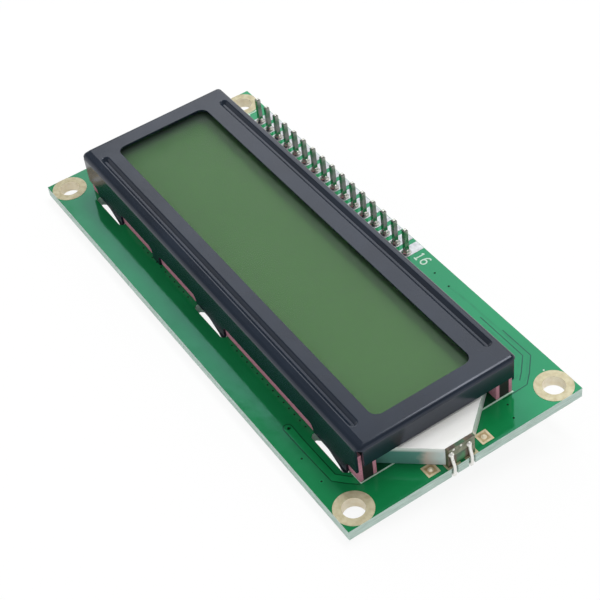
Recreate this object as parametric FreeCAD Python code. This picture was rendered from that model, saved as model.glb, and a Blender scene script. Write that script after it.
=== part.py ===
"""A character display module: a glass cell in a folded steel bezel on a printed board.

Millimetres. The origin is the centre of the four mounting holes on the board's front
face. +Z points out of the display, +X towards the lamp end, +Y towards the pin header.
"""
import FreeCAD, Part
import math
import os

from FreeCAD import Vector

# Circuit board, with plated mounting holes in its corners
board_length = 80.0
board_width = 36.0
board_thickness = 1.6
hole_from_end = 2.5
hole_from_edge = 2.5
hole_diameter = 3.0
land_diameter = 5.2
barrel_sides = 16
copper = 0.04

# Bezel, folded and pressed from one steel sheet
bezel_length = 71.2
bezel_width = 24.2
bezel_height = 7.0
bezel_offset_y = -0.9
sheet = 0.35
fold_radius = 0.7
corner_radius = 0.75
window_end_border = 3.0
window_side_border = 4.6
window_radius = 1.3
bead_end_inset = 3.4
bead_width = 1.25
bead_floor_width = 0.3
near_bead_inset = 2.1
far_bead_inset = 1.65
bead_edge_radius = 0.25
end_wall_foot = 3.6
slit_top = 6.6
arch_height = 2.0
arch_radius = 0.9
foot_width = 1.9
foot_spacing = 14.95
shoulder_width = 7.2

# Twisted tabs of the bezel and the slots that they go through
tab_inset = 6.75
tab_reach = 1.3
tab_end_clearance = 0.35
tab_twist_in_slot = 18.0
tab_twist_behind = 42.0
relief_height = 0.65
relief_flat = 2.3
relief_radius = 3.5
slot_length = 7.7
slot_width = 1.25
slot_corner = 0.4

# Glass cell, polarisers and backlight, from the board upwards
reflector_thickness = 0.1
guide_thickness = 3.0
diffuser_thickness = 0.1
cell_lift = 0.35
polariser_thickness = 0.2
glass_thickness = 1.1
cell_gap = 0.05
glass_clearance = 0.15
glass_end_clearance = 0.45
polariser_inset = 0.6
seal_width = 1.2
guide_clearance = 0.3
guide_end_clearance = 1.6
funnel_inset = 1.95
funnel_tip_width = 3.9

# Elastomer connectors between the board and the glass
zebra_end_clearance = 0.4
zebra_core_width = 1.5
zebra_foam_width = 0.5
finger_pitch = 2.4
finger_width = 1.2
finger_length = 1.6

# Lamp at the tip of the light guide
emitter_width = 3.0
emitter_height = 1.4
emitter_depth = 0.8
emitter_clearance = 0.1
carrier_thickness = 0.5
carrier_width = 4.1
carrier_height = 3.3
carrier_setback = 0.3
lead_diameter = 0.5
lead_pitch_top = 2.7
lead_pitch_foot = 2.65
lead_top_offset = -0.27
lead_foot_offset = 0.03
lead_bend_radius = 0.45
lead_back_run = 1.6
lead_top_height = 2.75
lead_bend_height = 1.9
notch_diameter = 1.0
notch_depth = 0.55
lamp_solder_width = 1.0
lamp_solder_height = 0.45
pad_size = 1.8
pad_setback = 1.45
pad_shift_y = 0.22
pad_bead_clearance = 0.75
pad_bead_width = 0.6
pad_bead_height = 0.25

# Pin header, its strip on the back of the board
pin_count = 16
pin_pitch = 2.54
pin_size = 0.64
pin_chamfer = 0.15
pin_front_reach = 4.4
pin_back_reach = 3.0
first_pin_from_end = 8.0
pin_row_from_edge = 2.5
strip_width = 2.5
strip_height = 2.54
strip_notch = 0.45
pin_hole_width = 1.0
pin_pad_width = 1.75
pin_pad_length = 4.4
pin_pad_from_edge = 0.06
solder_base_width = 1.45
solder_top_width = 0.9
solder_height = 0.65

# Chips under resin and small parts on the back of the board
blob_height = 1.5
blob_flat_width = 2.4
blob_sides = 24
blob_steps = 3
controller_blob_diameter = 14.0
driver_blob_diameter = 12.0
controller_from_end = 26.0
driver_from_end = 28.0
blob_y = -1.5
chip_length = 2.0
chip_width = 1.25
resistor_height = 0.5
capacitor_height = 0.85
chip_cap = 0.4
chip_step = 0.04
resistor_count = 5
resistor_pitch = 2.6
resistor_from_end = 15.5
capacitor_count = 3
capacitor_pitch = 3.4
capacitor_from_end = 8.5

# Levels of the stack, worked out from the thicknesses above
guide_base = reflector_thickness
guide_top = guide_base + guide_thickness
diffuser_top = guide_top + diffuser_thickness
rear_polariser_base = diffuser_top + cell_lift
rear_polariser_top = rear_polariser_base + polariser_thickness
rear_glass_top = rear_polariser_top + glass_thickness
front_glass_base = rear_glass_top + cell_gap
front_glass_top = front_glass_base + glass_thickness
front_polariser_top = front_glass_top + polariser_thickness
bead_depth = bezel_height - sheet - front_polariser_top

# Places shared by several pieces
half_board = board_length / 2
half_board_width = board_width / 2
barrel_width = hole_diameter + 2 * copper
half_length = bezel_length / 2
half_width = bezel_width / 2
inner_half_length = half_length - sheet
inner_half_width = half_width - sheet
wall_mid = half_width - sheet / 2
zebra_width = zebra_core_width + 2 * zebra_foam_width
cell_half_width = inner_half_width - zebra_width
bead_length = bezel_length - 2 * bead_end_inset
tab_spacing = half_length - tab_inset
pin_x0 = -half_board + first_pin_from_end
pin_y = half_board_width - pin_row_from_edge
pad_x = half_board - pad_setback
carrier_face = half_board - carrier_setback
funnel_tip = carrier_face - carrier_thickness
funnel_start = inner_half_length - funnel_inset
guide_half_y = cell_half_width - guide_clearance
guide_left = -inner_half_length + guide_end_clearance
lead_x = carrier_face + lead_diameter / 2
PAST = 1.0


def box(x0, x1, y0, y1, z0, z1):
    """A block between two corners."""
    return Part.makeBox(x1 - x0, y1 - y0, z1 - z0, Vector(x0, y0, z0))


def cylinder(x, y, z0, z1, radius):
    """An upright cylinder."""
    return Part.makeCylinder(radius, z1 - z0, Vector(x, y, z0))


def fillet_edges(shape, radius, wanted):
    """Round the edges whose vertices all satisfy a test."""
    edges = [e for e in shape.Edges if wanted([v.Point for v in e.Vertexes])]
    return shape.makeFillet(radius, edges)


def upright(points):
    """True for an edge that runs straight along Z."""
    return len(points) == 2 and points[0].distanceToPoint(
        Vector(points[1].x, points[1].y, points[0].z)) < 1e-6


def closed(corners):
    """The closed outline through a list of corners."""
    return Part.makePolygon(corners + corners[:1])


def even_sided(x, y, z, across, sides):
    """The corners of a regular outline, of one width across its flats."""
    half_step = math.pi / sides
    radius = across / 2 / math.cos(half_step)
    angles = [half_step + i * 2 * half_step for i in range(sides)]
    return [Vector(x + radius * math.cos(a), y + radius * math.sin(a), z) for a in angles]


def flat_sided_bar(x, y, z0, z1, across, sides):
    """An upright bar with flat sides, for a bore or a barrel that other pieces hide."""
    outline = closed(even_sided(x, y, z0, across, sides))
    return Part.Face(outline).extrude(Vector(0, 0, z1 - z0))


def skinned(loops, twisted):
    """A solid through loops of corners; sides that twist are split into flat triangles."""
    faces = [Part.Face(closed(loop)) for loop in (loops[0], loops[-1])]
    for low, high in zip(loops, loops[1:]):
        for a, b, c, d in zip(low, low[1:] + low[:1], high[1:] + high[:1], high):
            for side in ([a, b, c], [a, c, d]) if twisted else ([a, b, c, d],):
                faces.append(Part.Face(closed(side)))
    solid = Part.Solid(Part.Shell(faces))
    if solid.Volume < 0:
        solid.reverse()
    return solid


def mound(centre, outward, base, top, height):
    """A small heap of solder: eight flat sides that lean in as they rise."""
    heap = skinned([even_sided(0, 0, 0, base, 8), even_sided(0, 0, height, top, 8)], False)
    heap.Placement = FreeCAD.Placement(centre, FreeCAD.Rotation(Vector(0, 0, 1), outward))
    return heap


def rounded_block(x0, x1, y0, y1, z0, z1, radius):
    """A block whose four upright edges are rounded."""
    return fillet_edges(box(x0, x1, y0, y1, z0, z1), radius, upright)


def prism(points, z0, z1):
    """A straight-sided block from an outline of corners."""
    outline = closed([Vector(x, y, z0) for x, y in points])
    return Part.Face(outline).extrude(Vector(0, 0, z1 - z0))


def turned(shape):
    """The same shape on the far side of the bezel, half a turn about its centre."""
    copy = shape.copy()
    copy.rotate(Vector(0, 0, 0), Vector(0, 0, 1), 180)
    return copy


def in_place(shape):
    """Move a shape from the bezel's centre to its place on the board."""
    shape.translate(Vector(0, bezel_offset_y, 0))
    return shape


def save(name, shape):
    """Write one piece to its own file."""
    shape.exportStep("parts/" + name + ".step")


def hole_centres():
    """The four mounting holes, from the near left corner, anticlockwise."""
    x = half_board - hole_from_end
    y = half_board_width - hole_from_edge
    return [(-x, -y), (x, -y), (x, y), (-x, y)]


def pin_places():
    """The header pins' X positions."""
    return [pin_x0 + i * pin_pitch for i in range(pin_count)]


def lead_places(pitch, offset):
    """The two lamp leads' Y positions at a height where they are this far apart."""
    return [bezel_offset_y + offset + side * pitch / 2 for side in (-1, 1)]


def lead_feet():
    """The Y positions where the leads pass the board's edge."""
    return lead_places(lead_pitch_foot, lead_foot_offset)


def slot(x):
    """What is cut away for one tab of the near wall, with its corners cut off."""
    long = slot_length / 2
    wide = slot_width / 2
    cut = slot_corner
    outline = []
    for side_x, side_y in ((1, 1), (-1, 1), (-1, -1), (1, -1)):
        pair = [(side_x * long, side_y * (wide - cut)), (side_x * (long - cut), side_y * wide)]
        outline += pair if side_x * side_y > 0 else pair[::-1]
    return prism([(x + a, b - wall_mid) for a, b in outline], -board_thickness, 0)


def circuit_board():
    """The board with its holes, the bezel's slots and the notches for the lamp leads."""
    x = half_board
    y = half_board_width
    board = box(-x, x, -y, y, -board_thickness, 0)
    cutters = []
    for hx, hy in hole_centres():
        cutters.append(flat_sided_bar(hx, hy, -board_thickness, 0, barrel_width, barrel_sides))
    for px in pin_places():
        cutters.append(flat_sided_bar(px, pin_y, -board_thickness, 0, pin_hole_width, 8))
    for tx in (-tab_spacing, 0, tab_spacing):
        cutters += [in_place(slot(tx)), in_place(turned(slot(tx)))]
    radius = notch_diameter / 2
    for ny in lead_feet():
        floor = x - notch_depth + radius
        cutters.append(cylinder(floor, ny, -board_thickness, 0, radius))
        cutters.append(box(floor, x + PAST, ny - radius, ny + radius, -board_thickness, 0))
    return board.cut(Part.makeCompound(cutters))


def hole_plating(hx, hy):
    """A plated hole: a ring on each face, cut at the board's edge, joined by a barrel."""
    tall = cylinder(hx, hy, -board_thickness - copper, copper, land_diameter / 2)
    edge = box(-half_board, half_board, -half_board_width, half_board_width,
               -board_thickness - copper, copper)
    core = box(hx - land_diameter, hx + land_diameter, hy - land_diameter, hy + land_diameter,
               -board_thickness, 0)
    rings = tall.common(edge).cut(core)
    barrel = flat_sided_bar(hx, hy, -board_thickness - copper, copper, barrel_width,
                            barrel_sides)
    bore = cylinder(hx, hy, -board_thickness - PAST, PAST, hole_diameter / 2)
    return rings.fuse(barrel).removeSplitter().cut(bore)


def at_height(height):
    """A test for the edges that lie at one height."""
    return lambda points: all(abs(p.z - height) < 1e-6 for p in points)


def folded_block(half_x, half_y, base, height, corner):
    """A block centred on the bezel, with rounded corners, as the folds leave them."""
    return rounded_block(-half_x, half_x, -half_y, half_y, base, height, corner)


def bead(y, widen, drop):
    """The body of a pressed bead: a tapered channel with cone ends, widened and lowered."""
    top = bead_width / 2 + widen
    floor = bead_floor_width / 2 + widen
    reach = (bead_length - bead_width) / 2
    high = bezel_height - drop
    low = high - bead_depth
    section = Part.makePolygon([
        Vector(-reach, y - floor, low),
        Vector(-reach, y + floor, low),
        Vector(-reach, y + top, high),
        Vector(-reach, y - top, high),
        Vector(-reach, y - floor, low),
    ])
    channel = Part.Face(section).extrude(Vector(2 * reach, 0, 0))
    ends = [Part.makeCone(floor, top, bead_depth, Vector(side * reach, y, low))
            for side in (-1, 1)]
    return channel.fuse(ends).removeSplitter()


def arch(x0, x1):
    """What is cut from a long wall's lower edge between two places that touch the board."""
    block = box(x0, x1, -half_width - PAST, -inner_half_width + sheet, -PAST, arch_height)
    return fillet_edges(block, arch_radius, lambda pts: all(
        abs(p.z - arch_height) < 1e-6 for p in pts) and abs(pts[0].x - pts[1].x) < 1e-6)


def long_wall_cuts():
    """The arches of the near long wall, between its shoulders and its one small foot."""
    shoulder = shoulder_width / 2
    foot = foot_width / 2
    spans = [
        (-half_length - 2 * PAST, -tab_spacing - shoulder),
        (-tab_spacing + shoulder, -foot_spacing - foot),
        (-foot_spacing + foot, -shoulder),
        (shoulder, tab_spacing - shoulder),
        (tab_spacing + shoulder, half_length + 2 * PAST),
    ]
    return [arch(x0, x1) for x0, x1 in spans]


def tab_edge(x, height):
    """Where a tab's left edge is at a height: it curves down from the cut-away wall."""
    bend = x - shoulder_width / 2 + relief_flat
    rise = relief_radius - relief_height + height
    return bend + math.sqrt(relief_radius ** 2 - rise ** 2)


def tab_relief(x):
    """The part of a shoulder that is cut away beside its tab, down to the board."""
    left = x - shoulder_width / 2 - PAST
    heights = [relief_height * share for share in (1, 0.75, 0.4, 0)]
    curve = [(tab_edge(x, height), height) for height in heights]
    outline = [(left, -PAST), (left, relief_height)] + curve + [(curve[-1][0], -PAST)]
    corners = [Vector(a, -half_width - PAST, b) for a, b in outline]
    return Part.Face(closed(corners)).extrude(Vector(0, sheet + 2 * PAST, 0))


def corner_slit(side):
    """The opening at a corner of the near long wall, round at its top."""
    radius = corner_radius / 2
    x0, x1 = sorted((side * (half_length - corner_radius), side * (half_length + PAST)))
    y = -half_width + radius
    slit = box(x0, x1, y - radius - PAST, y + radius, -PAST, slit_top - radius)
    top = Part.makeCylinder(radius, x1 - x0, Vector(x0, y, slit_top - radius), Vector(1, 0, 0))
    lip = box(x0, x1, y - radius - PAST, y, slit_top - radius, slit_top)
    return slit.fuse([top, lip])


def tab(x):
    """A tab of the near wall: it twists a little in its slot and more behind the board."""
    depths = [0, board_thickness / 2, board_thickness,
              board_thickness + tab_reach / 2, board_thickness + tab_reach]
    angles = [0, tab_twist_in_slot / 2, tab_twist_in_slot,
              (tab_twist_in_slot + tab_twist_behind) / 2, tab_twist_behind]
    right = x + slot_length / 2 - tab_end_clearance
    loops = []
    for depth, angle in zip(depths, angles):
        left = tab_edge(x, -min(depth, board_thickness))
        turn = FreeCAD.Rotation(Vector(0, 0, 1), -angle)
        centre = Vector((left + right) / 2, -wall_mid, -depth)
        half = (right - left) / 2
        loops.append([centre + turn.multVec(Vector(a * half, b * sheet / 2, 0))
                      for a, b in ((-1, -1), (1, -1), (1, 1), (-1, 1))])
    return skinned(loops, True)


def bezel():
    """The steel bezel: window, two pressed beads, four walls and six twisted tabs."""
    ceiling = bezel_height - sheet
    outer = folded_block(half_length, half_width, 0, bezel_height, corner_radius)
    outer = fillet_edges(outer, fold_radius, at_height(bezel_height))
    inner = folded_block(inner_half_length, inner_half_width, -PAST, ceiling,
                         corner_radius - sheet)
    ceiling_edges = [e for e in inner.Edges if at_height(ceiling)([v.Point for v in e.Vertexes])]
    inner = inner.makeChamfer((fold_radius - sheet) / 2, ceiling_edges)
    shell = outer.cut(inner)
    slope = math.atan2(bead_depth, (bead_width - bead_floor_width) / 2)
    widen = sheet * math.tan(slope / 2)
    for y in (-half_width + near_bead_inset, half_width - far_bead_inset):
        shell = shell.fuse(bead(y, widen, sheet)).cut(bead(y, 0, 0))
    shell = soften_beads(shell)
    window_x = half_length - window_end_border
    window_y = half_width - window_side_border
    cutters = [rounded_block(-window_x, window_x, -window_y, window_y,
                             bezel_height - 2 * sheet, bezel_height + PAST, window_radius)]
    places = (-tab_spacing, 0, tab_spacing)
    near_cuts = long_wall_cuts() + [corner_slit(-1), corner_slit(1)]
    for cut in near_cuts + [tab_relief(x) for x in places]:
        cutters += [cut, turned(cut)]
    for side in (-1, 1):
        x0, x1 = sorted((side * inner_half_length, side * (half_length + PAST)))
        cutters.append(box(x0, x1, -half_width - PAST, half_width + PAST, -PAST, end_wall_foot))
    shell = shell.cut(Part.makeCompound(cutters))
    tabs = [tab(x) for x in places]
    shell = shell.fuse(tabs + [turned(t) for t in tabs]).removeSplitter()
    return in_place(shell)


def soften_beads(shell):
    """Round the mouths of the beads, as pressing a sheet leaves them."""
    def on_mouth(points):
        flat = all(abs(p.z - bezel_height) < 1e-6 for p in points)
        inside = all(abs(p.x) < bead_length / 2 + 1e-6 for p in points)
        between = all(abs(p.y) < half_width - fold_radius - 1e-6 for p in points)
        return flat and inside and between
    return fillet_edges(shell, bead_edge_radius, on_mouth)


def plate(half_x, half_y, z0, z1):
    """A flat piece centred under the bezel."""
    return in_place(box(-half_x, half_x, -half_y, half_y, z0, z1))


def glass_cell():
    """Two glass plates, the seal and liquid crystal between them, and two polarisers."""
    half_x = inner_half_length - glass_end_clearance
    front_y = inner_half_width - glass_clearance
    rear_y = cell_half_width - glass_clearance
    seal = plate(half_x, rear_y, rear_glass_top, front_glass_base)
    crystal = plate(half_x - seal_width, rear_y - seal_width, rear_glass_top, front_glass_base)
    save("front_glass", plate(half_x, front_y, front_glass_base, front_glass_top))
    save("rear_glass", plate(half_x, rear_y, rear_polariser_top, rear_glass_top))
    save("cell_seal", seal.cut(crystal))
    save("liquid_crystal", crystal)
    save("front_polariser", plate(half_x - polariser_inset, front_y - polariser_inset,
                                  front_glass_top, front_polariser_top))
    save("rear_polariser", plate(half_x - polariser_inset, rear_y - polariser_inset,
                                 rear_polariser_base, rear_polariser_top))


def guide_half_width(x):
    """Half the light guide's width: full beside the cell, then down to its tip."""
    share = (funnel_tip - x) / (funnel_tip - funnel_start)
    taper = guide_half_y - funnel_tip_width / 2
    return funnel_tip_width / 2 + taper * max(0, min(1, share))


def guide_outline():
    """The light guide's plan: a slab that narrows to the lamp like a funnel."""
    left = (guide_left, guide_half_width(guide_left))
    shoulder = (funnel_start, guide_half_width(funnel_start))
    tip = (funnel_tip, guide_half_width(funnel_tip))
    return ([(x, -y) for x, y in (left, shoulder, tip)]
            + [(x, y) for x, y in (tip, shoulder, left)])


def emitter_level():
    """The height of the emitter's base, so that it is centred in the guide."""
    return guide_base + (guide_thickness - emitter_height) / 2


def light_guide():
    """The clear guide, with a pocket in its tip that takes the emitter."""
    gap = emitter_clearance
    low = emitter_level()
    pocket = box(funnel_tip - emitter_depth - gap, funnel_tip + PAST,
                 -emitter_width / 2 - gap, emitter_width / 2 + gap,
                 low - gap, low + emitter_height + gap)
    return in_place(prism(guide_outline(), guide_base, guide_top).cut(pocket))


def backlight():
    """The guide between its white films, the emitter and the small board that holds it."""
    save("light_guide", light_guide())
    save("diffuser_film", in_place(prism(guide_outline(), guide_top, diffuser_top)))
    save("reflector_film", in_place(box(guide_left, funnel_start, -guide_half_y, guide_half_y,
                                        0, guide_base)))
    low = emitter_level()
    save("lamp_emitter", in_place(box(funnel_tip - emitter_depth, funnel_tip,
                                      -emitter_width / 2, emitter_width / 2,
                                      low, low + emitter_height)))
    save("lamp_carrier", in_place(box(funnel_tip, carrier_face,
                                      -carrier_width / 2, carrier_width / 2,
                                      0, carrier_height)))


def bent_wire(points, radius, thickness):
    """A thin wire along straight runs joined by arcs of one radius."""
    edges = []
    start = points[0]
    for before, corner, after in zip(points, points[1:], points[2:]):
        back = (before - corner).normalize()
        ahead = (after - corner).normalize()
        half = back.getAngle(ahead) / 2
        trim = radius / math.tan(half)
        middle = (back + ahead).normalize() * (radius / math.sin(half) - radius)
        first = corner + back * trim
        last = corner + ahead * trim
        edges.append(Part.LineSegment(start, first).toShape())
        edges.append(Part.Arc(first, corner + middle, last).toShape())
        start = last
    edges.append(Part.LineSegment(start, points[-1]).toShape())
    section = closed(even_sided(points[0].x, points[0].y, points[0].z, thickness, 8))
    return Part.Wire(edges).makePipeShell([section], True, False)


def lamp_lead(top_y, foot_y):
    """A lead: soldered to the carrier, down past the board's edge and in behind the board."""
    behind = -board_thickness - lead_diameter / 2
    points = [
        Vector(lead_x, top_y, lead_top_height),
        Vector(lead_x, top_y, lead_bend_height),
        Vector(lead_x, foot_y, 0),
        Vector(lead_x, foot_y, behind),
        Vector(lead_x - lead_back_run, foot_y, behind),
    ]
    return bent_wire(points, lead_bend_radius, lead_diameter)


def lamp_leads():
    """Both leads, with the solder that holds each to the carrier and behind the board."""
    tops = lead_places(lead_pitch_top, lead_top_offset)
    for number, (top_y, foot_y) in enumerate(zip(tops, lead_feet()), 1):
        lead = lamp_lead(top_y, foot_y)
        save("lamp_lead_%d" % number, lead)
        joints = [
            (Vector(carrier_face, top_y, lead_top_height - lead_diameter / 2), Vector(1, 0, 0)),
            (Vector(lead_x - lead_back_run, foot_y, -board_thickness), Vector(0, 0, -1)),
        ]
        solder = [mound(place, outward, lamp_solder_width, lead_diameter, lamp_solder_height)
                  for place, outward in joints]
        save("lamp_solder_%d" % number, Part.makeCompound([heap.cut(lead) for heap in solder]))


def backlight_pads():
    """Two square gilt pads beside the lamp, each with a bead of solder on its centre."""
    reach = pad_bead_width / 2
    from_middle = guide_half_width(pad_x - reach) + pad_bead_clearance + reach
    for number, side in enumerate((-1, 1), 1):
        y = bezel_offset_y + pad_shift_y + side * from_middle
        pad = box(pad_x - pad_size / 2, pad_x + pad_size / 2,
                  y - pad_size / 2, y + pad_size / 2, 0, copper)
        heap = mound(Vector(pad_x, y, copper), Vector(0, 0, 1), pad_bead_width,
                     pad_bead_width / 2, pad_bead_height)
        save("backlight_pad_%d" % number, pad.fuse(heap))


def zebra_strips():
    """Two elastomer connectors, each a black striped core between pink foam skins."""
    half_x = inner_half_length - zebra_end_clearance
    outer = inner_half_width
    edges = [outer, outer - zebra_foam_width,
             outer - zebra_foam_width - zebra_core_width, outer - zebra_width]
    layers = ("outer_foam", "core", "inner_foam")
    for layer, high, low in zip(layers, edges, edges[1:]):
        strip = box(-half_x, half_x, -high, -low, copper, front_glass_base)
        save("near_zebra_" + layer, in_place(strip.copy()))
        save("far_zebra_" + layer, in_place(turned(strip)))


def contact_fingers():
    """The rows of gilt fingers on the board that the elastomer connectors press on."""
    reach = inner_half_length - zebra_end_clearance
    count = int(2 * reach / finger_pitch)
    y = -inner_half_width + zebra_width / 2
    row = []
    for i in range(count):
        x = (i - (count - 1) / 2) * finger_pitch
        row.append(box(x - finger_width / 2, x + finger_width / 2,
                       y - finger_length / 2, y + finger_length / 2, 0, copper))
    row = Part.makeCompound(row)
    save("near_contact_fingers", in_place(row.copy()))
    save("far_contact_fingers", in_place(turned(row)))


def header_pin(x):
    """A square pin through the board, chamfered at both ends."""
    half = pin_size / 2
    pin = box(x - half, x + half, pin_y - half, pin_y + half,
              -board_thickness - strip_height - pin_back_reach, pin_front_reach)
    ends = [e for e in pin.Edges if not upright([v.Point for v in e.Vertexes])]
    return pin.makeChamfer(pin_chamfer, ends)


def header_strip():
    """The plastic strip that holds the pins, notched between each pin and the next."""
    places = pin_places()
    top = -board_thickness
    low = top - strip_height
    strip = box(places[0] - pin_pitch / 2, places[-1] + pin_pitch / 2,
                pin_y - strip_width / 2, pin_y + strip_width / 2, low, top)
    cutters = []
    for x in [places[0] - pin_pitch / 2] + [p + pin_pitch / 2 for p in places]:
        for side in (-1, 1):
            y = pin_y + side * strip_width / 2
            notch = prism([(x - strip_notch, y), (x, y - side * strip_notch),
                           (x + strip_notch, y)], low, top)
            cutters.append(notch)
    half = pin_size / 2
    for x in places:
        cutters.append(box(x - half, x + half, pin_y - half, pin_y + half, low, top))
    return strip.cut(Part.makeCompound(cutters))


def pin_header():
    """The pins, their strip, and each pin's pad and solder on the front of the board."""
    pads = []
    joints = []
    half = pin_size / 2
    for number, x in enumerate(pin_places(), 1):
        save("header_pin_%02d" % number, header_pin(x))
        far = half_board_width - pin_pad_from_edge
        pad = box(x - pin_pad_width / 2, x + pin_pad_width / 2, far - pin_pad_length, far,
                  0, copper)
        heap = mound(Vector(x, pin_y, copper), Vector(0, 0, 1), solder_base_width,
                     solder_top_width, solder_height)
        core = box(x - half, x + half, pin_y - half, pin_y + half, 0, pin_front_reach)
        pads.append(pad.cut(core))
        joints.append(heap.cut(core))
    save("header_pads", Part.makeCompound(pads))
    save("header_solder", Part.makeCompound(joints))
    save("header_strip", header_strip())


def resin_blob(x, y, diameter):
    """A drop of resin over a chip: the cap of a ball, flat on top, cut into flat bands."""
    rim = diameter / 2
    flat = blob_flat_width / 2
    buried = (rim ** 2 - flat ** 2 - blob_height ** 2) / (2 * blob_height)
    radius = math.hypot(rim, buried)
    first = math.atan2(rim, buried)
    last = math.atan2(flat, buried + blob_height)
    loops = []
    for i in range(blob_steps + 1):
        angle = first + (last - first) * i / blob_steps
        drop = radius * math.cos(angle) - buried
        loops.append(even_sided(x, y, -board_thickness - drop, 2 * radius * math.sin(angle),
                                blob_sides))
    return skinned(loops, False)


def chip(x, y, height):
    """A chip part with wrapped metal ends, on the back of the board."""
    half_x = chip_length / 2
    half_y = chip_width / 2
    ends = chip_cap
    step = chip_step
    z1 = -board_thickness
    z0 = z1 - height
    body = box(x - half_x + ends, x + half_x - ends, y - half_y + step, y + half_y - step,
               z0 + step, z1 - step)
    caps = [box(x - half_x, x - half_x + ends, y - half_y, y + half_y, z0, z1),
            box(x + half_x - ends, x + half_x, y - half_y, y + half_y, z0, z1)]
    return body.fuse(caps)


def chip_column(x, count, pitch, height):
    """A column of like chip parts, centred on the board's middle line."""
    column = [chip(x, (i - (count - 1) / 2) * pitch, height) for i in range(count)]
    return Part.makeCompound(column)


def main():
    """Build every piece and write it."""
    os.makedirs("parts", exist_ok=True)
    save("circuit_board", circuit_board())
    for number, (hx, hy) in enumerate(hole_centres(), 1):
        save("hole_plating_%d" % number, hole_plating(hx, hy))
    save("bezel", bezel())
    glass_cell()
    zebra_strips()
    contact_fingers()
    backlight()
    lamp_leads()
    backlight_pads()
    pin_header()
    save("controller_blob", resin_blob(controller_from_end - half_board, blob_y,
                                       controller_blob_diameter))
    save("driver_blob", resin_blob(half_board - driver_from_end, blob_y,
                                   driver_blob_diameter))
    save("chip_resistors", chip_column(half_board - resistor_from_end, resistor_count,
                                       resistor_pitch, resistor_height))
    save("chip_capacitors", chip_column(half_board - capacitor_from_end, capacitor_count,
                                        capacitor_pitch, capacitor_height))


main()
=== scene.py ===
"""Looks for a character display module: painted bezel, green board, glass cell and lamp.

Every piece is sized in millimetres here and built in metres, in the part's own frame:
the origin is the centre of the mounting holes on the board's front face, +Z points out
of the display, +X towards the lamp and +Y towards the pin header.
"""

import math

import bmesh
import bpy
from mathutils import Matrix, Vector


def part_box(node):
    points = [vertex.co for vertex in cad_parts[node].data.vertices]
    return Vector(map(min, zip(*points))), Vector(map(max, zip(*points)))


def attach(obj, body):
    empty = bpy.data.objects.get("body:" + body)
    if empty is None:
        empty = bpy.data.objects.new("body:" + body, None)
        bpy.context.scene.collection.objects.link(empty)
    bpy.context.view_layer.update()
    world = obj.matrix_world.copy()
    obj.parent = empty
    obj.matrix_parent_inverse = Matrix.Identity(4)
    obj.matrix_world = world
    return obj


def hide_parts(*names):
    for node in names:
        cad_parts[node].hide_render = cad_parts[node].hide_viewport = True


bl_info = {
    "name": "Character display module",
    "version": (1, 0, 0),
    "blender": (4, 5, 0),
    "location": "View3D > Sidebar > Display module",
    "description": "Builds the looks of a character display module on its packed frame",
    "category": "Add Mesh",
}

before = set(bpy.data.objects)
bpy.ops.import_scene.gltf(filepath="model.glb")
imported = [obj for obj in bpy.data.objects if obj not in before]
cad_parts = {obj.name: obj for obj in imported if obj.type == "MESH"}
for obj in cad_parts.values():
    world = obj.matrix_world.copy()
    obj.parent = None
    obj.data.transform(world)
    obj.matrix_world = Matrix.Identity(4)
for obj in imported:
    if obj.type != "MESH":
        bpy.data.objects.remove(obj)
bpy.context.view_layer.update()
MM = 0.001
# Corners closer than this, in millimetres, are one.
WELD = 0.001
# Two faces that turn less than this, in radians, lie in one flat.
FLAT = 0.009
# A face is a side where its normal rises less than this.
SIDE = 0.5


def linear(code):
    """A hex sRGB colour as the linear red, green, blue and alpha that shaders take."""
    parts = [int(code[i:i + 2], 16) / 255 for i in (1, 3, 5)]
    return tuple(c / 12.92 if c <= 0.04045 else ((c + 0.055) / 1.055) ** 2.4
                 for c in parts) + (1.0,)


class ModuleSizes(bpy.types.PropertyGroup):
    """Sizes that a user would change, in millimetres."""

    trace_width: bpy.props.FloatProperty(
        name="Track width", description="Width of a copper track under the mask",
        default=0.32, min=0.1, max=1.0)
    trace_height: bpy.props.FloatProperty(
        name="Track height", description="How thick a track is drawn, half of it sunk",
        default=0.012, min=0.005, max=0.1)
    via_width: bpy.props.FloatProperty(
        name="Via width", description="Width of a via's copper ring under the mask",
        default=0.62, min=0.2, max=1.5)
    print_width: bpy.props.FloatProperty(
        name="Print width", description="Width of a printed white line",
        default=0.22, min=0.1, max=0.5)
    print_height: bpy.props.FloatProperty(
        name="Print height", description="Thickness of the printed ink",
        default=0.02, min=0.005, max=0.05)
    digit_height: bpy.props.FloatProperty(
        name="Digit height", description="Height of the printed pin numbers",
        default=1.6, min=0.8, max=3.0)
    lead_width: bpy.props.FloatProperty(
        name="Lead width", description="Diameter of the lamp's two wires",
        default=0.48, min=0.3, max=0.5)
    edge_round: bpy.props.FloatProperty(
        name="Edge round", description="Radius that worn or moulded edges catch light with",
        default=0.05, min=0.01, max=0.2)


class ModuleColours(bpy.types.PropertyGroup):
    """Colours that a user would change."""

    mask: bpy.props.FloatVectorProperty(
        name="Solder mask", description="Green lacquer over the board",
        subtype="COLOR", size=4, min=0, max=1, default=linear("#147C45"))
    paint: bpy.props.FloatVectorProperty(
        name="Bezel paint", description="Satin black paint of the bezel",
        subtype="COLOR", size=4, min=0, max=1, default=linear("#16202D"))
    screen: bpy.props.FloatVectorProperty(
        name="Screen", description="Green of the unlit cell",
        subtype="COLOR", size=4, min=0, max=1, default=linear("#488930"))
    ink: bpy.props.FloatVectorProperty(
        name="Print", description="White ink of the printed marks",
        subtype="COLOR", size=4, min=0, max=1, default=linear("#C9E4D3"))


def sizes():
    """The sizes, as the user has set them."""
    return bpy.context.scene.module_sizes


def colours():
    """The colours, as the user has set them."""
    return bpy.context.scene.module_colours


# Materials


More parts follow.
